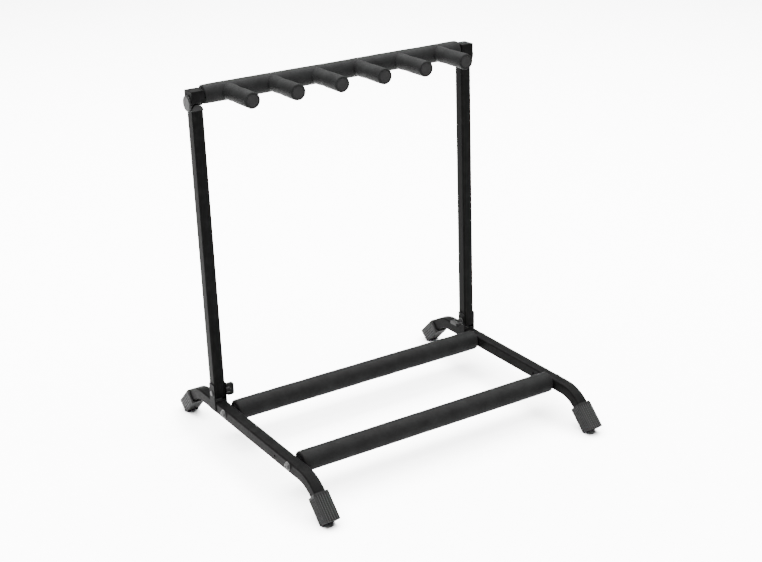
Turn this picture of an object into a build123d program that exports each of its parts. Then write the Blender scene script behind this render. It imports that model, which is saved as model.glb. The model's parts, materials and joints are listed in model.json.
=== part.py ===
from build123d import *
from math import cos, radians, sin, tan
import os

# Folding guitar rack, millimetres.  +Z up, +X to the rack's right, -Y to its front.
# The origin is on the floor, under the middle of the rack.

# ---- driving dimensions -------------------------------------------------------------------
TUBE = 22.2               # side of the square steel tube in rails and posts
TUBE_WALL = 1.5
TUBE_CORNER = 3.2         # outer corner radius of the square tube
POST_X = 288.0            # half the distance between the two frames
RAIL_TOP = 74.5           # height of the rails' top face
RAIL_FLAT = 186.0         # half the length of a rail's level run
BEND_RADIUS = 68.0        # centreline radius of the rails' end bends
BEND_ANGLE = 44.0         # how far the legs turn down
LEG_END_Z = 8.0           # height of the middle of a foot cap's end face
PIVOT_Y = 134.5           # post pivot bolts
PIVOT_Z = 90.2
LEAN = 0.95               # the posts lean back by this many degrees
TOP_BOLT = 558.6          # pivot bolt to hinge bolt, along the post
BAR_AXIS = 570.3          # pivot bolt to the peg bar's axis, along the post
CLEARANCE = 0.05          # radial running clearance of a bolt in its hole
SIDE_GAP = 0.15           # gap between a turning tube and the sheet beside it

FOOT_SIZE = 30.4          # rubber foot caps
FOOT_LENGTH = 52.5
FOOT_SOLE = 6.0
SOLE_TILT = 7.0           # the end face turns this far toward the floor
FOOT_CORNER = 3.0
FOOT_RIBS = 6
RIB_GROOVE = 1.1          # radius of the grooves between ribs

ROLLER_Y = {"front": -150.5, "rear": 92.0}
ROLLER_Z = 65.0
ROLLER_FOAM = 19.8        # foam radius on the two cross tubes
ROLLER_TUBE = 11.0
ROLLER_GAP = 2.6          # foam end to rail
ROLLER_PLUG = 22.0        # length of the threaded plug in a cross tube's end
FOAM_ROUND = 3.0

PEG_COUNT = 6
PEG_PITCH = 90.0
PEG_TIP = 100.0           # bar axis to peg tip
PEG_FOAM = 15.2
PEG_TUBE = 6.5
PEG_PLUG = 10.6           # radius of the plug's disc in the peg's end
PEG_PLUG_DEPTH = 2.5
PEG_PLUG_SUNK = 0.4       # disc below the foam's end
PEG_PLUG_STEM = 7.5
BAR_FOAM = 17.6
BAR_TUBE = 7.5
BAR_FOAM_GAP = 1.9        # foam end to hinge bracket
ROUND_TUBE_WALL = 1.5

BOLT = 3.0                # radius of every bolt shank
BOLT_SHORT = 0.5          # bolt end to the bottom of a knob's bore
WASHER = 8.0
WASHER_THICK = 1.2
HEAD = 6.2                # radius of the cross tube bolts' heads
HEAD_HIGH = 3.6
HEAD_ROUND = 2.2
RIVET_HEAD = 5.0          # low round heads of the pivot bolts
RIVET_HEAD_HIGH = 1.6
RIVET_ROUND = 0.9
HINGE_HEAD = 3.6          # small heads of the hinge bolts, clear of the bar tube
HEX_SOCKET = 2.2
HEX_DEPTH = 2.0
BOLT_REACH = 20.0         # cross tube bolts, past the rail's inner face

PLATE = 1.6               # post bracket sheet
PLATE_FRONT = -11.1       # plate edges, measured from the post's axis
PLATE_BACK = 9.2
PLATE_TOP = 19.8          # above the pivot
PLATE_CORNER = 2.0
PLATE_LOW = RAIL_TOP - TUBE + TUBE_CORNER   # plate and weld, down the rail's side
POST_BELOW = 8.0          # post end below the pivot bolt

CLAMP = 1.5               # hinge bracket sheet
CLAMP_FRONT = -17.5       # from the post's axis
CLAMP_BACK = 11.0
CLAMP_TOP = 11.3          # above the bar axis
CLAMP_BOTTOM = 2.5        # above the hinge bolt
CLAMP_EDGE = 0.9
OUTER_EAR = 9.0           # ear radii round the hinge bolt
INNER_EAR = 7.0

SHOULDER = 13.5           # hinge bolt to the centre of the block's arched shoulder
TONGUE_HALF = 8.0
TONGUE_RADIUS = 7.0
SPIGOT = 38.0             # how deep the block sits in the post
FOOT_PLUG = 20.0          # length of the plug in the post's bottom
SPACER = 5.6

KNOB_HUB = 6.6            # wing knobs
KNOB_THICK = 5.5
KNOB_WEB = 3.0            # washer to the start of the wings
KNOB_ROUND = 4.0
KNOB_INSET = 2.2
KNOB_INSET_DEPTH = 0.5
BASE_WING = (12.3, 18.5)  # half height, length from its washer
KNOB_HUB_LENGTH = 9.0
KNOB_BORE_END = 5.5       # plastic left beyond the bolt's end
CAP_KNOB = 15.0           # low round knobs on the hinge bolts
CAP_HIGH = 3.4
CAP_ROUND = 2.9
CAP_NOTCHES = 16
CAP_NOTCH = 1.1
CAP_THIN = 0.8            # plastic over the bolt's end

SADDLE_HIGH = 1.6         # plastic block on the rail, between the bracket plates

SPARE_HOLE_Y = -103.5     # spare hole in each rail
SPARE_HOLE = 2.4

SIDES = {"left": -1, "right": 1}
WING_TURN = {"left": 0.0, "right": 90.0}   # resting angle of each wing knob

# ---- derived ------------------------------------------------------------------------------
RAIL_Z = RAIL_TOP - TUBE / 2
BEND_RUN = BEND_RADIUS * sin(radians(BEND_ANGLE))
BEND_DROP = BEND_RADIUS * (1 - cos(radians(BEND_ANGLE)))
LEG_START = (RAIL_FLAT + BEND_RUN, RAIL_Z - BEND_DROP)
LEG_LENGTH = (LEG_START[1] - LEG_END_Z) / sin(radians(BEND_ANGLE))
LEG_END_Y = LEG_START[0] + LEG_LENGTH * cos(radians(BEND_ANGLE))
HALF = TUBE / 2
INSIDE = TUBE - 2 * TUBE_WALL
PLATE_IN = HALF + SIDE_GAP              # sheet faces, from the post's axis
PLATE_OUT = PLATE_IN + PLATE
CLAMP_OUT = PLATE_IN + CLAMP
BAR_HALF = POST_X - CLAMP_OUT           # peg bar tube, middle to bracket
BAR_FOAM_HALF = BAR_HALF - BAR_FOAM_GAP
RAIL_INNER = POST_X - HALF
POST_END = TOP_BOLT - SHOULDER
UPRIGHT = Pos(0, PIVOT_Y, PIVOT_Z) * Rot(-LEAN, 0, 0)


def rod(radius, x0, x1, y=0.0, z=0.0):
    """Cylinder along X from x0 to x1."""
    length = abs(x1 - x0)
    return Pos((x0 + x1) / 2, y, z) * Rot(0, 90, 0) * Cylinder(radius, length)


def block(x, y, z):
    """Box between pairs of coordinates."""
    middle = Pos(sum(x) / 2, sum(y) / 2, sum(z) / 2)
    return middle * Box(abs(x[1] - x[0]), abs(y[1] - y[0]), abs(z[1] - z[0]))


def square_bar(size, corner, z0, z1):
    """Solid square bar with rounded corners along Z."""
    return Pos(0, 0, z0) * extrude(RectangleRounded(size, size, corner), z1 - z0)


def rail_path(end_cut):
    """Centreline of a rail from its front leg to its rear leg, in the YZ plane."""
    run = LEG_LENGTH - end_cut
    y = LEG_START[0] + run * cos(radians(BEND_ANGLE))
    z = LEG_START[1] - run * sin(radians(BEND_ANGLE))
    corner_y = RAIL_FLAT + BEND_RADIUS * tan(radians(BEND_ANGLE / 2))
    points = [(0, -y, z), (0, -corner_y, RAIL_Z), (0, corner_y, RAIL_Z), (0, y, z)]
    return FilletPolyline(*points, radius=BEND_RADIUS)


def swept(path, size, corner):
    """Square section swept along a rail path."""
    start = Plane(origin=path @ 0, x_dir=(1, 0, 0), z_dir=path % 0)
    return sweep(start * RectangleRounded(size, size, corner), path=path)


def base_rail(side):
    """Bent square tube with its bolt holes."""
    path = rail_path(FOOT_SOLE)
    rail = swept(path, TUBE, TUBE_CORNER) - swept(path, INSIDE, TUBE_CORNER - TUBE_WALL)
    for y in ROLLER_Y.values():
        rail -= rod(BOLT + CLEARANCE, -TUBE, TUBE, y, ROLLER_Z)
    rail -= rod(SPARE_HOLE, -TUBE, TUBE, SPARE_HOLE_Y, RAIL_Z)
    return Pos(side * POST_X, 0, 0) * rail


def foot_cap(side, end):
    """Rubber cap with ribs along it, closed at the sole and cut flat at the floor."""
    cap = square_bar(FOOT_SIZE, FOOT_CORNER, -FOOT_SOLE, FOOT_LENGTH)
    cap -= square_bar(TUBE, TUBE_CORNER, FOOT_SOLE, FOOT_LENGTH)
    pitch = (FOOT_SIZE - 2 * FOOT_CORNER) / (FOOT_RIBS - 1)
    grooves = Part()
    for i in range(FOOT_RIBS):
        offset = (i - (FOOT_RIBS - 1) / 2) * pitch
        for turn in (0, 90, 180, 270):
            groove = Pos(offset, FOOT_SIZE / 2, 0) * Cylinder(RIB_GROOVE, 2 * FOOT_LENGTH)
            grooves += Rot(0, 0, turn) * groove
    cap -= grooves
    across = (-FOOT_SIZE, FOOT_SIZE)
    cap -= Rot(-SOLE_TILT * end, 0, 0) * block(across, across, (-FOOT_SIZE, 0))
    tilt = Rot(90 - BEND_ANGLE, 0, 0) if end > 0 else Rot(BEND_ANGLE - 90, 0, 0)
    cap = Pos(side * POST_X, end * LEG_END_Y, LEG_END_Z) * tilt * cap
    wide = (-2 * POST_X, 2 * POST_X)
    return cap - block(wide, wide, (-FOOT_SIZE, 0))


def tube_x(radius, wall, half):
    """Round tube along X, centred."""
    return rod(radius, -half, half) - rod(radius - wall, -half, half)


def foam_sleeve(radius, bore, half):
    """Foam sleeve along X with softly rounded ends."""
    foam = rod(radius, -half, half)
    foam = fillet(foam.edges().filter_by(GeomType.CIRCLE), FOAM_ROUND)
    return foam - rod(bore, -half, half)


def roller_plug(side, y):
    """Plug in a cross tube's end, which the bolt screws into."""
    face = side * RAIL_INNER
    plug = rod(ROLLER_TUBE - ROUND_TUBE_WALL, face, face - side * ROLLER_PLUG, y, ROLLER_Z)
    return plug - rod(BOLT, face, face - side * ROLLER_PLUG, y, ROLLER_Z)


def washer(x, side, y, z):
    """Flat washer that starts at x and grows outward."""
    ring = rod(WASHER, x, x + side * WASHER_THICK, y, z)
    return ring - rod(BOLT + CLEARANCE, x, x + side * WASHER_THICK, y, z)


def roller_bolt(side, y):
    """Button-head socket bolt through the rail into the cross tube."""
    face = side * (POST_X + HALF + WASHER_THICK)
    head = rod(HEAD, face, face + side * HEAD_HIGH, y, ROLLER_Z)
    outer = head.edges().filter_by(GeomType.CIRCLE).sort_by(Axis.X)[-1 if side > 0 else 0]
    head = fillet(outer, HEAD_ROUND)
    tip = face + side * (HEAD_HIGH - HEX_DEPTH)
    socket = Plane(origin=(tip, y, ROLLER_Z), z_dir=(side, 0, 0)) * RegularPolygon(HEX_SOCKET, 6)
    head -= extrude(socket, HEX_DEPTH)
    shank_end = side * (RAIL_INNER - BOLT_REACH)
    return head + rod(BOLT, face, shank_end, y, ROLLER_Z)


def bracket_plate(side, inward):
    """One of the two plates, welded to a rail, that hold a post's pivot."""
    x0 = side * POST_X + inward * PLATE_IN
    x1 = side * POST_X + inward * PLATE_OUT
    y = (PIVOT_Y + PLATE_FRONT, PIVOT_Y + PLATE_BACK)
    plate = block((x0, x1), y, (PLATE_LOW, PIVOT_Z + PLATE_TOP))
    plate = fillet(plate.edges().filter_by(Axis.X), PLATE_CORNER)
    weld = block((x0, x0 - inward * SIDE_GAP), y, (PLATE_LOW, RAIL_TOP - TUBE_CORNER))
    return plate + weld - rod(BOLT + CLEARANCE, x0, x1, PIVOT_Y, PIVOT_Z)


def low_head_bolt(radius, head_face, tip, outward):
    """Bolt along X with a low round head, on the axis of a local frame."""
    head = rod(radius, head_face, head_face + outward * RIVET_HEAD_HIGH)
    rim = head.edges().filter_by(GeomType.CIRCLE).sort_by(Axis.X)[-1 if outward > 0 else 0]
    return fillet(rim, RIVET_ROUND) + rod(BOLT, head_face, tip)


def wing_knob(seat, outward, turn):
    """Moulded wing knob on a bolt along X; seat is the face on its washer."""
    half, length = BASE_WING
    x = (seat + outward * KNOB_WEB, seat + outward * length)
    blade = block(x, (-KNOB_THICK / 2, KNOB_THICK / 2), (-half, half))
    blade = fillet(blade.edges().filter_by(Axis.Y), KNOB_ROUND)
    inset_x = (seat + outward * KNOB_HUB_LENGTH, seat + outward * (length - KNOB_INSET))
    for face in (-1, 1):
        y = (face * KNOB_THICK / 2, face * (KNOB_THICK / 2 - KNOB_INSET_DEPTH))
        blade -= block(inset_x, y, (-half + KNOB_INSET, half - KNOB_INSET))
    knob = blade + rod(KNOB_HUB, seat, seat + outward * KNOB_HUB_LENGTH)
    knob -= rod(BOLT + CLEARANCE, seat, seat + outward * (length - KNOB_BORE_END))
    return Rot(turn, 0, 0) * knob


def cap_knob(seat, outward):
    """Low round knob with a notched rim on a hinge bolt along X."""
    knob = rod(CAP_KNOB, seat, seat + outward * CAP_HIGH)
    rim = knob.edges().filter_by(GeomType.CIRCLE).sort_by(Axis.X)[-1 if outward > 0 else 0]
    knob = fillet(rim, CAP_ROUND)
    for i in range(CAP_NOTCHES):
        notch = Pos(0, CAP_KNOB, 0) * rod(CAP_NOTCH, seat, seat + outward * CAP_HIGH)
        knob -= Rot(360 * i / CAP_NOTCHES, 0, 0) * notch
    return knob - rod(BOLT + CLEARANCE, seat, seat + outward * (CAP_HIGH - CAP_THIN))


def saddle_block(side):
    """Plastic block on the rail's top, between the bracket plates."""
    x = (side * POST_X - HALF + SIDE_GAP, side * POST_X + HALF - SIDE_GAP)
    y = (PIVOT_Y + PLATE_FRONT + PLATE, PIVOT_Y + PLATE_BACK)
    return block(x, y, (RAIL_TOP, RAIL_TOP + SADDLE_HIGH))


def post(side):
    """Square tube from the pivot to the hinge block's shoulder, in the upright frame."""
    tube = square_bar(TUBE, TUBE_CORNER, -POST_BELOW, POST_END)
    tube -= square_bar(INSIDE, TUBE_CORNER - TUBE_WALL, -POST_BELOW, POST_END)
    tube -= rod(BOLT + CLEARANCE, -TUBE, TUBE)
    return UPRIGHT * Pos(side * POST_X, 0, 0) * tube


def post_foot_plug(side):
    """Plastic bearing plug round the pivot bolt in the post's lower end."""
    plug = square_bar(INSIDE, TUBE_CORNER - TUBE_WALL, -POST_BELOW, FOOT_PLUG - POST_BELOW)
    plug -= rod(BOLT + CLEARANCE, -TUBE, TUBE)
    return UPRIGHT * Pos(side * POST_X, 0, 0) * plug


def hinge_block(side):
    """Insert in the post's top: spigot, arched shoulder and round-topped tongue."""
    spigot = square_bar(INSIDE, TUBE_CORNER - TUBE_WALL, POST_END - SPIGOT, POST_END)
    arch = Pos(0, 0, POST_END) * Rot(90, 0, 0) * Cylinder(HALF, TUBE)
    arch = arch & block((-HALF, HALF), (-HALF, HALF), (POST_END, POST_END + HALF))
    tongue = rod(TONGUE_RADIUS, -TONGUE_HALF, TONGUE_HALF, 0, TOP_BOLT)
    width, depth = (-TONGUE_HALF, TONGUE_HALF), (-TONGUE_RADIUS, TONGUE_RADIUS)
    tongue += block(width, depth, (POST_END, TOP_BOLT))
    whole = spigot + arch + tongue - rod(BOLT, -TUBE, TUBE, 0, TOP_BOLT)
    return UPRIGHT * Pos(side * POST_X, 0, 0) * whole


def hinge_spacers(side):
    """Nylon spacers that centre the tongue between the bracket's cheeks."""
    pair = Part()
    for face in (-1, 1):
        ring = rod(SPACER, face * TONGUE_HALF, face * HALF, 0, TOP_BOLT)
        pair += ring - rod(BOLT + CLEARANCE, face * TONGUE_HALF, face * HALF, 0, TOP_BOLT)
    return UPRIGHT * Pos(side * POST_X, 0, 0) * pair


def clamp_bracket(side):
    """Folded sheet box on the peg bar's end, open below and behind, with two ears."""
    top = BAR_AXIS + CLAMP_TOP
    low = TOP_BOLT + CLAMP_BOTTOM
    box = block((-CLAMP_OUT, CLAMP_OUT), (CLAMP_FRONT, CLAMP_BACK), (low, top))
    box = fillet(box.edges().filter_by(Axis.Z).sort_by(Axis.Y)[:2], CLAMP_EDGE)
    box = fillet(box.faces().sort_by(Axis.Z)[-1].edges(), CLAMP_EDGE)
    inside_y = (CLAMP_FRONT + CLAMP, CLAMP_BACK + CLAMP)
    box -= block((-PLATE_IN, PLATE_IN), inside_y, (low - CLAMP, top - CLAMP))
    for outward, radius in ((side, OUTER_EAR), (-side, INNER_EAR)):
        span = (outward * PLATE_IN, outward * CLAMP_OUT)
        ear = rod(radius, *span, 0, TOP_BOLT)
        ear += block(span, (-radius, radius), (TOP_BOLT, low))
        box += ear
    box -= rod(BOLT + CLEARANCE, -TUBE, TUBE, 0, TOP_BOLT)
    return UPRIGHT * Pos(side * POST_X, 0, 0) * box


def peg_positions():
    """X of each peg, left to right."""
    return [(i - (PEG_COUNT - 1) / 2) * PEG_PITCH for i in range(PEG_COUNT)]


def along_peg(radius, start, end, x=0.0):
    """Cylinder along -Y between two distances from the bar axis, in the upright frame."""
    return Pos(x, -(start + end) / 2, BAR_AXIS) * Rot(90, 0, 0) * Cylinder(radius, end - start)


def bar_core(radius):
    """Solid cylinder on the peg bar's axis, in the upright frame."""
    return rod(radius, -BAR_HALF, BAR_HALF, 0, BAR_AXIS)


def bar_foam():
    """Foam sleeve on the peg bar, cut out round the peg tubes."""
    foam = Pos(0, 0, BAR_AXIS) * foam_sleeve(BAR_FOAM, BAR_TUBE, BAR_FOAM_HALF)
    for x in peg_positions():
        foam -= along_peg(PEG_TUBE, 0, BAR_FOAM + PEG_TUBE, x)
    return UPRIGHT * foam


def peg_tube(x):
    """Tube welded to the bar, saddle-cut at its root."""
    end = PEG_TIP - PEG_PLUG_DEPTH
    tube = along_peg(PEG_TUBE, 0, end, x) - along_peg(PEG_TUBE - ROUND_TUBE_WALL, 0, end, x)
    return UPRIGHT * (tube - bar_core(BAR_TUBE))


def peg_foam(x):
    """Foam sleeve on a peg: butts against the bar's foam, rounded at the tip."""
    foam = along_peg(PEG_FOAM, 0, PEG_TIP, x)
    tip = foam.edges().filter_by(GeomType.CIRCLE).sort_by(Axis.Y)[0]
    foam = fillet(tip, FOAM_ROUND)
    foam -= along_peg(PEG_TUBE, 0, PEG_TIP, x)
    foam -= along_peg(PEG_PLUG, PEG_TIP - PEG_PLUG_DEPTH, PEG_TIP, x)
    return UPRIGHT * (foam - bar_core(BAR_FOAM))


def peg_plug(x):
    """End plug: a disc let into the foam and a stem in the tube."""
    face = PEG_TIP - PEG_PLUG_DEPTH
    disc = along_peg(PEG_PLUG, face, PEG_TIP - PEG_PLUG_SUNK, x)
    stem = along_peg(PEG_TUBE - ROUND_TUBE_WALL, face - PEG_PLUG_STEM, face, x)
    return UPRIGHT * (disc + stem)


def build_parts():
    """Every sub-part by name."""
    parts = {}
    for name, side in SIDES.items():
        parts[f"{name}_base_rail"] = base_rail(side)
        for end_name, end in (("front", -1), ("rear", 1)):
            parts[f"{name}_{end_name}_foot_cap"] = foot_cap(side, end)
        rail_face = side * (POST_X + HALF)
        pair = [washer(rail_face, side, y, ROLLER_Z) for y in ROLLER_Y.values()]
        parts[f"{name}_rail_washers"] = Compound(children=pair)
        parts[f"{name}_outer_bracket_plate"] = bracket_plate(side, side)
        parts[f"{name}_inner_bracket_plate"] = bracket_plate(side, -side)
        pivot = Pos(side * POST_X, PIVOT_Y, PIVOT_Z)
        seat = -side * (PLATE_OUT + WASHER_THICK)
        tip = seat - side * (BASE_WING[1] - KNOB_BORE_END - BOLT_SHORT)
        bolt = low_head_bolt(RIVET_HEAD, side * PLATE_OUT, tip, side)
        parts[f"{name}_pivot_bolt"] = pivot * bolt
        parts[f"{name}_pivot_washer"] = pivot * washer(-side * PLATE_OUT, -side, 0, 0)
        knob = wing_knob(seat - side * CLEARANCE, -side, WING_TURN[name])
        parts[f"{name}_base_wing_knob"] = pivot * knob
        parts[f"{name}_saddle_block"] = saddle_block(side)
        parts[f"{name}_post"] = post(side)
        parts[f"{name}_post_foot_plug"] = post_foot_plug(side)
        parts[f"{name}_hinge_block"] = hinge_block(side)
        parts[f"{name}_hinge_spacers"] = hinge_spacers(side)
        parts[f"{name}_hinge_bracket"] = clamp_bracket(side)
        hinge = UPRIGHT * Pos(side * POST_X, 0, TOP_BOLT)
        seat = side * (CLAMP_OUT + SIDE_GAP)
        tip = seat + side * (CAP_HIGH - CAP_THIN - BOLT_SHORT)
        bolt = low_head_bolt(HINGE_HEAD, -side * CLAMP_OUT, tip, -side)
        parts[f"{name}_hinge_bolt"] = hinge * bolt
        parts[f"{name}_hinge_knob"] = hinge * cap_knob(seat, side)
    for row, y in ROLLER_Y.items():
        axis = Pos(0, y, ROLLER_Z)
        parts[f"{row}_cross_tube"] = axis * tube_x(ROLLER_TUBE, ROUND_TUBE_WALL, RAIL_INNER)
        foam = foam_sleeve(ROLLER_FOAM, ROLLER_TUBE, RAIL_INNER - ROLLER_GAP)
        parts[f"{row}_cross_tube_foam"] = axis * foam
    ends = [(side, y) for side in SIDES.values() for y in ROLLER_Y.values()]
    parts["cross_tube_plugs"] = Compound(children=[roller_plug(*end) for end in ends])
    parts["cross_tube_bolts"] = Compound(children=[roller_bolt(*end) for end in ends])
    bar = bar_core(BAR_TUBE) - bar_core(BAR_TUBE - ROUND_TUBE_WALL)
    parts["peg_bar_tube"] = UPRIGHT * bar
    parts["peg_bar_foam"] = bar_foam()
    for number, x in enumerate(peg_positions(), 1):
        parts[f"peg_{number}_tube"] = peg_tube(x)
        parts[f"peg_{number}_foam"] = peg_foam(x)
    parts["peg_end_plugs"] = Compound(children=[peg_plug(x) for x in peg_positions()])
    return parts


os.makedirs("parts", exist_ok=True)
for node, shape in build_parts().items():
    export_step(shape, f"parts/{node}.step")
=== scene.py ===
import json
from math import cos, exp, pi, radians, sin, sqrt, tan

import bmesh
import bpy
from mathutils import Matrix, Vector, noise


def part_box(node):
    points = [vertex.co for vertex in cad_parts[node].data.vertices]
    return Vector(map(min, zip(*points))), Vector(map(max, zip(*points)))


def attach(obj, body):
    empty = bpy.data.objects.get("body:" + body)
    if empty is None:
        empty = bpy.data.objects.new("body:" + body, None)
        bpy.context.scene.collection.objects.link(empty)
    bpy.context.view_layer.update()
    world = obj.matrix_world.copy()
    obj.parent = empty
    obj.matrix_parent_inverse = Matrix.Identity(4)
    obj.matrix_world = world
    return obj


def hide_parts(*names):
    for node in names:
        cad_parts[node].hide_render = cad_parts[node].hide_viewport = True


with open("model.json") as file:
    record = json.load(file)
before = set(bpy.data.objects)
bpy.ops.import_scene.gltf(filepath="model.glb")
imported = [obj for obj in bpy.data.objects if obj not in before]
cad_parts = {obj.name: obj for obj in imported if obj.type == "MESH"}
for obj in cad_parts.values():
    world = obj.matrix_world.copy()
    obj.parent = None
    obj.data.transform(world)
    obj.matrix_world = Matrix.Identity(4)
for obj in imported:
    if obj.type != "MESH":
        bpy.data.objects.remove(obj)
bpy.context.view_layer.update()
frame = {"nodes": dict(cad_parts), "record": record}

# Guitar rack, metres.  +Z up, +X to the rack's right, -Y to its front.

MM = 0.001

# ---- camera: metres, degrees, pixels ----------------------------------------------------
CAMERA_PLACE = (-1.3512, -2.1351, 1.3108)
CAMERA_YAW = 32.258
CAMERA_DOWN = 21.994
CAMERA_ROLL = -1.499
CAMERA_SHIFT = 0.00015
FOCAL = 1467.3 / 762 * 36

# ---- the object, millimetres and radians --------------------------------------------------
LEAN = radians(0.95)
BAR_BORE = 7.5
PEG_FOAM = 15.2
PEG_BORE = 6.5
PEG_TIP = 100.0
PEG_PLUG = 10.6
PEG_PLUG_DEPTH = 2.5
PRESSED = 0.3             # how far a peg's foam is pressed into the bar's
FOAM_ROUND = 2.6
FOAM_LIP = 0.4            # chamfer where a sleeve's end meets its bore
FOAM_PINCH = 0.35         # how much a sleeve narrows at its ends
FOAM_PINCH_LENGTH = 9
SLEEVE_INSET = 0.15
SLEEVE_UNEVEN = 0.5
PEG_UNEVEN = 0.45
PEG_SWELL = 0.45          # the foam's bulge where a peg meets the bar
PEG_WAIST = 0.5           # and the narrower stretch beyond it
ROLLER_BORE = 11.0

LEG_TURN = radians(44)
CAP_LENGTH = 52.5
CAP_HALF = 15.1
CAP_CORNER = 3.2
CAP_SOLE = 6.0
SOLE_TILT = radians(7)
CAP_RIBS = 6
RIB_DEEP = 1.5
LEG_HALF = 11.1
CAP_BORE_SLACK = 0.6      # how far a cap's mouth opens round the leg
CAP_WEAR = 0.12
# name of the mesh attribute that carries painted shade: 1 paints a groove or plain cap end dark, 0 paints a
# rib crest pale
GROOVE_SHADE = "groove"

BEAD = 0.85               # weld bead radius
BEAD_STEP = 0.8

# ---- how much each finish mirrors: the shader's specular level ------------------------------
POWDER_SHINE = 0.007
FOAM_SHINE = 0.012
RUBBER_SHINE = 0.05
PLASTIC_SHINE = 0.04
PLATE_SHINE = 0.03
FLOOR_SHINE = 0.1
PLATE_METAL = 0.2

SIDES = {"left": -1, "right": 1}
ENDS = {"front": -1, "rear": 1}


# ---- node materials -----------------------------------------------------------------------
class Nodes:
    """A material's node tree with short helpers."""

    def __init__(self, name):
        self.material = bpy.data.materials.new(name)
        self.material.use_nodes = True
        self.tree = self.material.node_tree
        self.shader = self.tree.nodes["Principled BSDF"]
        self.place = self.add("ShaderNodeTexCoord").outputs["Object"]

    def add(self, kind, **values):
        node = self.tree.nodes.new(kind)
        for key, value in values.items():
            setattr(node, key, value)
        return node

    def link(self, a, b):
        self.tree.links.new(a, b)

    def noise(self, scale, detail=2.0, rough=0.5):
        node = self.add("ShaderNodeTexNoise")
        node.inputs["Scale"].default_value = scale
        node.inputs["Detail"].default_value = detail
        node.inputs["Roughness"].default_value = rough
        self.link(self.place, node.inputs["Vector"])
        return node.outputs["Fac"]

    def cells(self, scale):
        node = self.add("ShaderNodeTexVoronoi", feature="F1")
        node.inputs["Scale"].default_value = scale
        self.link(self.place, node.inputs["Vector"])
        return node.outputs["Distance"]

    def spread(self, value, low, high, out_low, out_high):
        node = self.add("ShaderNodeMapRange")
        self.link(value, node.inputs["Value"])
        for key, number in (("From Min", low), ("From Max", high), ("To Min", out_low), ("To Max", out_high)):
            node.inputs[key].default_value = number
        return node.outputs["Result"]

    def mix(self, fac, a, b):
        node = self.add("ShaderNodeMix", data_type="RGBA")
        self.link(fac, node.inputs["Factor"])
        node.inputs["A"].default_value = (*a, 1)
        node.inputs["B"].default_value = (*b, 1)
        return node.outputs["Result"]

    def bump(self, height, strength, distance, below=None):
        node = self.add("ShaderNodeBump")
        node.inputs["Strength"].default_value = strength
        node.inputs["Distance"].default_value = distance
        self.link(height, node.inputs["Height"])
        if below:
            self.link(below, node.inputs["Normal"])
        return node.outputs["Normal"]

    def finish(self, color, rough, normal, specular, metallic=0.0):
        self.link(color, self.shader.inputs["Base Color"])
        self.link(rough, self.shader.inputs["Roughness"])
        self.link(normal, self.shader.inputs["Normal"])
        self.shader.inputs["Specular IOR Level"].default_value = specular
        self.shader.inputs["Metallic"].default_value = metallic
        return self.material


def powder_coat(name, tone):
    """Black powder coat: fine orange-peel grain with faint handling marks."""
    n = Nodes(name)
    marks = n.noise(60, 6, 0.7)
    color = n.mix(n.spread(marks, 0.45, 0.75, 0, 1), (tone, tone, tone), (tone * 2.1,) * 3)
    rough = n.spread(marks, 0.3, 0.7, 0.36, 0.50)
    normal = n.bump(n.noise(1500, 2), 0.35, 0.00010)
    normal = n.bump(n.noise(420, 2), 0.20, 0.00015, normal)
    return n.finish(color, rough, normal, POWDER_SHINE)


def foam(name, tone):
    """Matt closed-cell foam skin: small cells under soft mottling."""
    n = Nodes(name)
    mottle = n.noise(45, 5, 0.6)
    pale = (tone * 1.25, tone * 1.28, tone * 1.28)
    color = n.mix(n.spread(mottle, 0.3, 0.7, 0, 1), (tone * 0.8,) * 3, pale)
    rough = n.spread(n.noise(300), 0.3, 0.7, 0.5, 0.66)
    normal = n.bump(n.cells(1300), 0.5, 0.00022)
    normal = n.bump(n.noise(500, 4), 0.35, 0.0003, normal)
    return n.finish(color, rough, normal, FOAM_SHINE)


def rubber(name, tone):
    """Moulded rubber, unevenly matt: painted highlight on the rib crests, painted shade in the grooves and at
    the cap's plain ends, from the mesh's groove attribute.
    """
    n = Nodes(name)
    wear = n.noise(90, 6, 0.65)
    groove = n.add("ShaderNodeAttribute", attribute_name=GROOVE_SHADE).outputs["Fac"]
    # painted highlight on rib crests (share 0), painted shade in grooves and plain cap ends (share 1)
    color = n.mix(groove, (tone * 2.2,) * 3, (tone * 0.15,) * 3)
    rough = n.spread(wear, 0.3, 0.7, 0.5, 0.68)
    normal = n.bump(n.noise(1200, 3), 0.2, 0.00006)
    return n.finish(color, rough, normal, RUBBER_SHINE)


def moulded(name, tone, low, high):
    """Moulded plastic with a fine spark-eroded grain."""
    n = Nodes(name)
    shade = n.noise(120, 4)
    color = n.mix(n.spread(shade, 0.35, 0.7, 0, 1), (tone,) * 3, (tone * 1.5,) * 3)
    rough = n.spread(shade, 0.3, 0.7, low, high)
    normal = n.bump(n.noise(2600, 2), 0.3, 0.00006)
    return n.finish(color, rough, normal, PLASTIC_SHINE)


def plated(name, tone):
    """Black zinc plate with a very fine grain."""
    n = Nodes(name)
    shade = n.noise(500, 3)
    color = n.mix(n.spread(shade, 0.3, 0.7, 0, 1), (tone,) * 3, (tone * 1.6,) * 3)
    rough = n.spread(shade, 0.3, 0.7, 0.4, 0.55)
    normal = n.bump(n.noise(3000, 1), 0.2, 0.00003)
    return n.finish(color, rough, normal, PLATE_SHINE, PLATE_METAL)


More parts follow.
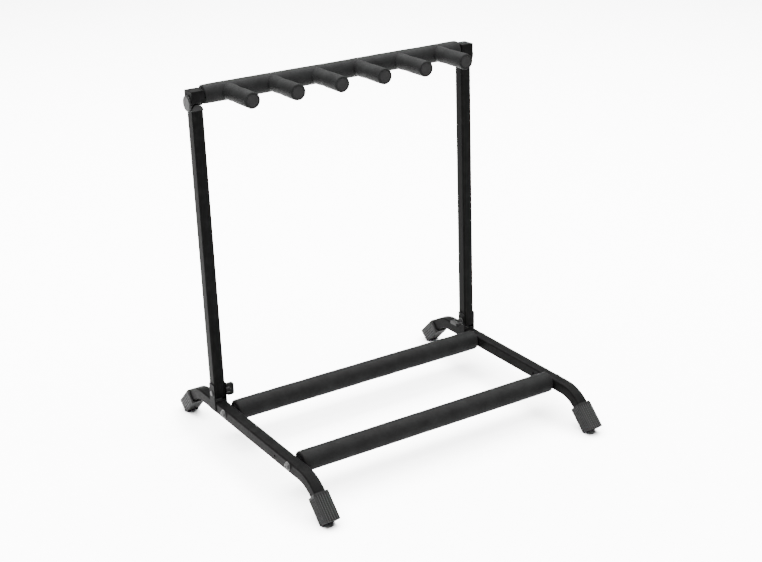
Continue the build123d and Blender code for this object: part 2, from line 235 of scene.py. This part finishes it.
MATERIALS = {
    "powder_coated_frame": powder_coat("powder_coated_frame", 0.0014),
    "powder_coated_tube": powder_coat("powder_coated_tube", 0.0014),
    "roller_foam": foam("roller_foam", 0.0036),
    "peg_foam": foam("peg_foam", 0.0040),
    "foot_rubber": rubber("foot_rubber", 0.0042),
    "knob_plastic": moulded("knob_plastic", 0.006, 0.35, 0.5),
    "insert_plastic": moulded("insert_plastic", 0.006, 0.3, 0.42),
    "plug_plastic": moulded("plug_plastic", 0.0035, 0.35, 0.5),
    "nylon": moulded("nylon", 0.012, 0.4, 0.55),
    "bolt_steel": plated("bolt_steel", 0.02),
    "washer_steel": plated("washer_steel", 0.022),
}


# ---- mesh pieces ----------------------------------------------------------------------------
def place_piece(name, bm, slot, body, nodes=()):
    """Turns a bmesh into a shown piece that rides a body and stands for CAD nodes."""
    bmesh.ops.recalc_face_normals(bm, faces=bm.faces)
    mesh = bpy.data.meshes.new(name)
    bm.to_mesh(mesh)
    bm.free()
    mesh.shade_smooth()
    mesh.set_sharp_from_angle(angle=radians(50))
    mesh.materials.append(MATERIALS[slot])
    obj = bpy.data.objects.new(name, mesh)
    bpy.context.collection.objects.link(obj)
    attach(obj, body)
    if nodes:
        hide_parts(*nodes)
    return obj


def lathe(profile, origin, axis, side, segments, shape):
    """Closed solid of revolution. The profile is a loop of (along, radius) in mm, which shape adjusts."""
    up = axis.cross(side)
    bm = bmesh.new()
    rings = []
    for along, radius in profile:
        ring = []
        for k in range(segments):
            turn = 2 * pi * k / segments
            t, r = shape(along, radius, turn)
            spot = origin + (axis * t + (side * cos(turn) + up * sin(turn)) * r) * MM
            ring.append(bm.verts.new(spot))
        rings.append(ring)
    for a, b in zip(rings, rings[1:] + rings[:1]):
        for k in range(segments):
            j = (k + 1) % segments
            bm.faces.new((a[k], a[j], b[j], b[k]))
    return bm


def corner(along, radius, size, start, count=5):
    """Points of a quarter round; start is the angle of its first point."""
    angles = [radians(start + 90 * i / count) for i in range(count + 1)]
    return [(along + size * cos(a), radius + size * sin(a)) for a in angles]


def outer_run(start, end, radius, step):
    """Points along a sleeve's outside."""
    count = max(2, round(abs(end - start) / step))
    return [(start + (end - start) * i / count, radius) for i in range(1, count)]


def uneven(seed, along, turn, size, length):
    """Smooth random unevenness of a foam surface, mm."""
    spot = Vector((along / length, 1.4 * cos(turn), 1.4 * sin(turn)))
    return size * noise.noise(spot + Vector((seed * 7.3, seed * 3.1, 0)))


def sleeve(name, node, bore, slot, body, seed):
    """Foam sleeve along X on a CAD sleeve's axis: rounded ends, slack skin."""
    low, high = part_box(node)
    middle = (low + high) / 2
    half = (high.x - low.x) / 2 / MM
    radius = (high.y - low.y) / 2 / MM - SLEEVE_INSET
    size = FOAM_ROUND
    right = corner(half - size, radius - size, size, 0)[::-1]
    left = corner(size - half, radius - size, size, 90)[::-1]
    profile = left + outer_run(size - half, half - size, radius, 4) + right
    lip, inner = half - FOAM_LIP, half - FOAM_LIP - 1
    profile += [(lip, bore + 0.6), (inner, bore), (-inner, bore), (-lip, bore + 0.6)]

    def shape(along, r, turn):
        if r < bore + 1:
            return along, r
        end = half - abs(along)
        pinch = FOAM_PINCH * exp(-((end / FOAM_PINCH_LENGTH) ** 2))
        return along, r - pinch + min(0.0, uneven(seed, along, turn, SLEEVE_UNEVEN, 34)) + 0.02

    bm = lathe(profile, middle, Vector((1, 0, 0)), Vector((0, 1, 0)), 72, shape)
    return place_piece(name, bm, slot, body, [node])


def bore_pegs(obj, spots, axis):
    """Cuts the peg tubes' holes through the bar's sleeve."""
    cutter = bmesh.new()
    turn = Vector((0, 0, 1)).rotation_difference(axis).to_matrix().to_4x4()
    for spot in spots:
        matrix = Matrix.Translation(spot + axis * 12 * MM) @ turn
        bmesh.ops.create_cone(cutter, cap_ends=True, segments=32, radius1=PEG_BORE * MM,
                              radius2=PEG_BORE * MM, depth=24 * MM, matrix=matrix)
    mesh = bpy.data.meshes.new("cutter")
    cutter.to_mesh(mesh)
    cutter.free()
    tool = bpy.data.objects.new("cutter", mesh)
    bpy.context.collection.objects.link(tool)
    cut = obj.modifiers.new("cut", "BOOLEAN")
    cut.operation = "DIFFERENCE"
    cut.solver = "EXACT"
    cut.object = tool
    bpy.context.view_layer.update()
    done = bpy.data.meshes.new_from_object(obj.evaluated_get(bpy.context.evaluated_depsgraph_get()))
    obj.modifiers.clear()
    obj.data = done
    bpy.data.objects.remove(tool)


def peg_sleeve(number, origin, axis, bar_radius):
    """Foam sleeve of a peg: saddle root pressed to the bar's foam, rounded tip, recess for the plug."""
    size = FOAM_ROUND
    recess = PEG_TIP - PEG_PLUG_DEPTH
    profile = [(0, PEG_FOAM - 0.9), (0.7, PEG_FOAM - 0.3), (1.8, PEG_FOAM)]
    profile += outer_run(1.8, PEG_TIP - size, PEG_FOAM, 3)
    profile += corner(PEG_TIP - size, PEG_FOAM - size, size, 0)[::-1]
    profile += [(PEG_TIP - 0.2, PEG_PLUG + 0.7), (PEG_TIP - 0.7, PEG_PLUG + 0.1), (recess, PEG_PLUG + 0.1)]
    profile += [(recess, PEG_BORE), (0, PEG_BORE)]

    def shape(along, r, turn):
        start = sqrt(bar_radius ** 2 - min(bar_radius, abs(r * sin(turn))) ** 2) - PRESSED
        along = start + along * (PEG_TIP - start) / PEG_TIP
        if r < PEG_FOAM - 1:
            return along, r
        root = along - bar_radius
        swell = PEG_SWELL * exp(-(((root - 7) / 7) ** 2))
        waist = PEG_WAIST * exp(-(((root - 24) / 12) ** 2))
        return along, r - 0.35 + 0.6 * swell - waist + uneven(number, along, turn, PEG_UNEVEN, 22)

    bm = lathe(profile, origin, axis, Vector((1, 0, 0)), 64, shape)
    return place_piece(f"peg_{number}_sleeve", bm, "peg_foam", "peg_bar", [f"peg_{number}_foam"])


def pegs_and_bar():
    """The foam on the peg bar and its pegs."""
    obj = sleeve("peg_bar_sleeve", "peg_bar_foam", BAR_BORE, "peg_foam", "peg_bar", 11)
    low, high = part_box("peg_bar_foam")
    middle = (low + high) / 2
    axis = Vector((0, -cos(LEAN), sin(LEAN)))
    spots = []
    for number in range(1, 7):
        tube_low, tube_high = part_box(f"peg_{number}_tube")
        spots.append(Vector(((tube_low.x + tube_high.x) / 2, middle.y, middle.z)))
        peg_sleeve(number, spots[-1], axis, (high.y - low.y) / 2 / MM - 0.4)
    bore_pegs(obj, spots, axis)


def cap_outline():
    """Ribbed rounded square, mm: (x, y, inward x, inward y, groove share)."""
    points = []
    flat = CAP_HALF - CAP_CORNER
    pitch = 2 * flat / (CAP_RIBS - 1)
    samples = (CAP_RIBS - 1) * 8
    for quarter in range(4):
        c, s = cos(pi / 2 * quarter), sin(pi / 2 * quarter)
        side = []
        for i in range(samples + 1):
            y = -flat + 2 * flat * i / samples
            phase = (y + flat) / pitch
            groove = max(0.0, 0.5 + 0.5 * cos(2 * pi * phase)) ** 1.6
            side.append((CAP_HALF, y, -1, 0, groove))
        for i in range(1, 6):
            a = pi / 2 * i / 6
            side.append((flat + CAP_CORNER * cos(a), flat + CAP_CORNER * sin(a), -cos(a), -sin(a), 0.25))
        points += [(x * c - y * s, x * s + y * c, u * c - v * s, u * s + v * c, g) for x, y, u, v, g in side]
    return points


def foot_cap(side_name, end_name):
    """Ribbed rubber cap on a leg's end, cut flat where it stands."""
    side, end = SIDES[side_name], ENDS[end_name]
    node = f"{side_name}_{end_name}_foot_cap"
    low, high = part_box(node)
    along = Vector((0, -end * cos(LEG_TURN), sin(LEG_TURN)))
    up = Vector((0, end * sin(LEG_TURN), cos(LEG_TURN)))
    # the lip's upper corner is the node's highest point
    half = (high.x - low.x) / 2 / MM
    top = high.z / MM - CAP_LENGTH * sin(LEG_TURN) - half * cos(LEG_TURN)
    reach = half * (sin(LEG_TURN) + tan(SOLE_TILT) * cos(LEG_TURN))
    outer = (high.y if end > 0 else low.y) / MM - end * reach
    origin = Vector(((low.x + high.x) / 2 / MM, outer, top))
    outline = cap_outline()
    bm = bmesh.new()
    depth = bm.verts.layers.float.new(GROOVE_SHADE)
    stations = [(0, 1.3, 0.4), (0.4, 0.5, 0.7), (1.2, 0, 1)]
    stations += [(t, 0.0, 1) for t in (4, 8, 14, 20, 26, 32, 38, 43, 46)]
    stations += [(47.2, 0, 0.6), (48.3, 0.15, 0.1), (CAP_LENGTH, 0.9, 0)]
    rings = []
    for t, inset, ribs in stations:
        ring = []
        for x, y, u, v, groove in outline:
            deep = inset + RIB_DEEP * ribs * groove
            worn = CAP_WEAR * noise.noise(Vector((x / 6, y / 6, t / 7 + side * 3 + end)))
            lean = y * tan(SOLE_TILT) * (1 - t / CAP_LENGTH)
            inward = deep + worn
            spot = Vector((1, 0, 0)) * (x + u * inward) + up * (y + v * inward) + along * (t - lean)
            ring.append(bm.verts.new((origin + spot) * MM))
            # painted shade share: the groove share on ribbed rings, rising to dark on the plain rings at the
            # sole and the mouth
            ring[-1][depth] = max(groove, 1 - ribs)
        rings.append(ring)
    mouth = LEG_HALF + CAP_BORE_SLACK
    for t, size in ((CAP_LENGTH, mouth), (CAP_LENGTH - 0.8, LEG_HALF), (CAP_SOLE, LEG_HALF)):
        scale = size / CAP_HALF
        ring = [bm.verts.new((origin + Vector((1, 0, 0)) * x * scale + up * y * scale + along * t) * MM)
                for x, y, *_ in outline]
        rings.append(ring)
    for a, b in zip(rings, rings[1:]):
        for k in range(len(a)):
            j = (k + 1) % len(a)
            bm.faces.new((a[k], a[j], b[j], b[k]))
    bm.faces.new(rings[0])
    bm.faces.new(rings[-1])
    geometry = bm.verts[:] + bm.edges[:] + bm.faces[:]
    cut = bmesh.ops.bisect_plane(bm, geom=geometry, plane_co=(0, 0, 0), plane_no=(0, 0, -1), clear_outer=True)
    edges = [e for e in cut["geom_cut"] if isinstance(e, bmesh.types.BMEdge)]
    bmesh.ops.triangle_fill(bm, edges=edges, use_beauty=True)
    place_piece(f"{side_name}_{end_name}_ribbed_cap", bm, "foot_rubber", "base", [node])


def bead(bm, start, end, seed):
    """Rippled weld bead between two points."""
    start, end = Vector(start), Vector(end)
    axis = (end - start).normalized()
    side = axis.orthogonal().normalized()
    up = axis.cross(side)
    count = max(3, round((end - start).length / MM / BEAD_STEP))
    rings = []
    for i in range(count + 1):
        spot = start + (end - start) * i / count
        size = BEAD * (1 + 0.16 * (i % 2) + 0.25 * noise.noise(Vector((i * 0.7, seed, 0))))
        size *= 0.35 if i in (0, count) else 1
        rings.append([bm.verts.new(spot + (side * cos(a) + up * sin(a)) * size * MM)
                      for a in (2 * pi * k / 8 for k in range(8))])
    for a, b in zip(rings, rings[1:]):
        for k in range(8):
            j = (k + 1) % 8
            bm.faces.new((a[k], a[j], b[j], b[k]))
    bm.faces.new(rings[0])
    bm.faces.new(rings[-1])


def plate_welds(name):
    """Beads round the lower edges of a rail's two bracket plates."""
    bm = bmesh.new()
    rail_low, rail_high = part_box(f"{name}_base_rail")
    middle = (rail_low.x + rail_high.x) / 2
    for number, place in enumerate(("outer", "inner")):
        low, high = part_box(f"{name}_{place}_bracket_plate")
        x = middle + (LEG_HALF + 0.25) * MM * (1 if (low.x + high.x) / 2 > middle else -1)
        inset = 2.2 * MM
        top = rail_high.z - 3.5 * MM
        bead(bm, (x, low.y + inset, low.z), (x, high.y - inset, low.z), number)
        bead(bm, (x, low.y, low.z + inset), (x, low.y, top), number + 5)
        bead(bm, (x, high.y, low.z + inset), (x, high.y, top), number + 9)
    place_piece(f"{name}_bracket_welds", bm, "powder_coated_frame", "base")


def dress_cad():
    """Finishes on the hard CAD nodes that show."""
    slots = {part["node"]: part["material_slot"] for part in frame["record"]["subparts"]}
    for node, obj in frame["nodes"].items():
        obj.data.materials.clear()
        obj.data.materials.append(MATERIALS[slots[node]])


# ---- studio -----------------------------------------------------------------------------------
def camera():
    """Camera at the viewing angle of the reference."""
    yaw, down, roll = radians(CAMERA_YAW), radians(CAMERA_DOWN), radians(CAMERA_ROLL)
    ahead = Vector((sin(yaw) * cos(down), cos(yaw) * cos(down), -sin(down)))
    level = Vector((cos(yaw), -sin(yaw), 0))
    lift = level.cross(ahead)
    right = level * cos(roll) + lift * sin(roll)
    up = lift * cos(roll) - level * sin(roll)
    data = bpy.data.cameras.new("camera")
    data.lens = FOCAL
    data.sensor_width = 36
    data.clip_end = 50
    data.shift_x = CAMERA_SHIFT
    obj = bpy.data.objects.new("camera", data)
    bpy.context.collection.objects.link(obj)
    turn = Matrix((right, up, -ahead)).transposed()
    obj.matrix_world = Matrix.Translation(CAMERA_PLACE) @ turn.to_4x4()
    bpy.context.scene.camera = obj


def floor():
    """Plain white floor."""
    bm = bmesh.new()
    bmesh.ops.create_grid(bm, x_segments=1, y_segments=1, size=15)
    mesh = bpy.data.meshes.new("floor")
    bm.to_mesh(mesh)
    bm.free()
    n = Nodes("floor")
    grain = n.noise(40, 4)
    color = n.mix(n.spread(grain, 0.3, 0.7, 0, 1), (0.93, 0.93, 0.93), (0.95, 0.95, 0.95))
    rough = n.spread(grain, 0.3, 0.7, 0.85, 0.95)
    mesh.materials.append(n.finish(color, rough, n.bump(grain, 0.02, 0.0002), FLOOR_SHINE))
    obj = bpy.data.objects.new("floor", mesh)
    bpy.context.collection.objects.link(obj)


def lamp(name, place, target, size, power):
    """Soft rectangular area light."""
    data = bpy.data.lights.new(name, "AREA")
    data.shape = "RECTANGLE"
    data.size, data.size_y = size
    data.energy = power
    obj = bpy.data.objects.new(name, data)
    bpy.context.collection.objects.link(obj)
    aim = Vector(target) - Vector(place)
    obj.matrix_world = Matrix.Translation(place) @ aim.to_track_quat("-Z", "Y").to_matrix().to_4x4()


def studio():
    """Dim white surroundings, a large soft light over the rack and a wide one behind it."""
    world = bpy.data.worlds.new("studio")
    bpy.context.scene.world = world
    world.use_nodes = True
    back = world.node_tree.nodes["Background"]
    back.inputs["Color"].default_value = (1, 1, 1, 1)
    back.inputs["Strength"].default_value = 0.10
    lamp("over", (0.3, 0.8, 4.2), (0.3, 0.8, 0), (7, 7), 4500)
    lamp("behind", (0.8, 5.6, 1.3), (0, 0, 0.6), (8, 2.4), 110)


dress_cad()
for side_name in SIDES:
    for end_name in ENDS:
        foot_cap(side_name, end_name)
    plate_welds(side_name)
for row in ENDS:
    sleeve(f"{row}_cross_tube_sleeve", f"{row}_cross_tube_foam", ROLLER_BORE, "roller_foam", "base", len(row))
pegs_and_bar()
camera()
floor()
studio()
